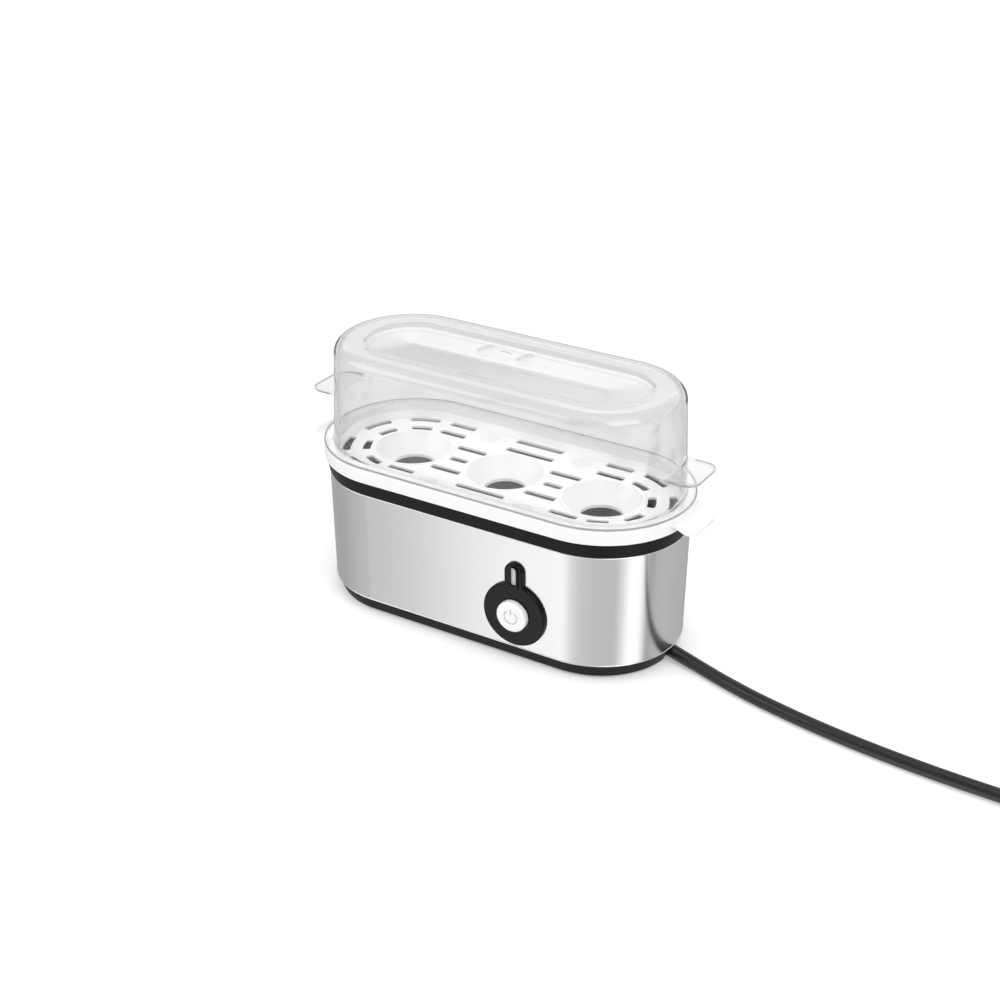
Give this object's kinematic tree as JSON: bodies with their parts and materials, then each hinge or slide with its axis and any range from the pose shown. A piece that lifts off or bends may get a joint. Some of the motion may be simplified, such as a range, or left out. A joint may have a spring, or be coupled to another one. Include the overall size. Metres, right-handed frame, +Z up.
{
  "type": "electric egg cooker",
  "caption": "Oval electric egg steamer: clear domed lid on a white egg-cup tray, brushed steel housing with a keyhole push-button plate, and a mains lead with an angled plug.",
  "frame": {"origin": "under the middle of the base, on the surface that the four rubber feet stand on", "axes": "+X to the end where the mains lead leaves, +Y to the back, away from the push button, +Z up"},
  "size_m": [0.4838, 0.1333, 0.1404],
  "materials": {
    "clear_plastic": "clear, polished",
    "white_plastic": "satin moulded",
    "black_plastic": "satin moulded",
    "gloss_black": "polished",
    "brushed_steel": "brushed along its length",
    "basin_steel": "bright pressed",
    "element_steel": "dull, annealed",
    "screw_steel": "zinc plated",
    "cast_aluminium": "as cast",
    "brass_tag": "plain",
    "plated_brass": "nickel plated",
    "seal_silicone": "soft",
    "foot_rubber": "soft",
    "cord_rubber": "smooth sheath",
    "brown_moulding": "phenolic",
    "lens_plastic": "clear",
    "lamp_glass": "clear glass",
    "wire_blue": "smooth",
    "wire_brown": "smooth",
    "wire_green": "smooth"
  },
  "bodies": {
    "housing": {"base": "black_plastic", "rubber_feet": "foot_rubber", "housing_screws": "screw_steel", "steel_sleeve": "brushed_steel", "collar": "black_plastic", "water_basin": "basin_steel", "basin_seal": "seal_silicone", "basin_posts": "basin_steel", "heat_spreader": "cast_aluminium", "heater_element": "element_steel", "heater_pins": "screw_steel", "thermostat": "brown_moulding", "spreader_screws": "screw_steel", "thermal_fuse": "screw_steel", "fuse_clip": "basin_steel", "earth_tag": "brass_tag", "control_bezel": "gloss_black", "lamp_lens": "lens_plastic", "neon_lamp": "lamp_glass", "lamp_holder": "white_plastic", "latching_switch": "black_plastic", "switch_screws": "screw_steel", "strain_relief": "cord_rubber", "cord_stub": "cord_rubber", "cord_clamp": "white_plastic", "clamp_screws": "screw_steel", "terminal_strip": "white_plastic", "cord_cores": "wire_blue", "live_wire": "wire_brown", "switched_wire": "wire_brown", "fuse_wire": "wire_brown", "heater_wire": "wire_brown", "neutral_wire": "wire_blue", "earth_wire": "wire_green", "cord": "cord_rubber", "cord_coil": "cord_rubber", "coil_tie": "black_plastic", "plug_body": "cord_rubber", "plug_pins": "plated_brass", "plug_earth_clips": "plated_brass"},
    "tray": {"egg_tray": "white_plastic"},
    "lid": {"lid": "clear_plastic"},
    "button": {"push_button": "white_plastic", "switch_plunger": "white_plastic"}
  },
  "joints": [
    {"name": "tray_lift", "type": "slide", "parent": "housing", "child": "tray", "axis": [0, 0, 1], "range_m": [0, 0.1]},
    {"name": "lid_lift", "type": "slide", "parent": "tray", "child": "lid", "axis": [0, 0, 1], "range_m": [0, 0.1]},
    {"name": "button_press", "type": "slide", "parent": "housing", "child": "button", "axis": [0, 0.9999, 0.0163], "range_m": [0, 0.0026], "stiffness_N_per_m": 900, "springref_m": -0.001}
  ]
}
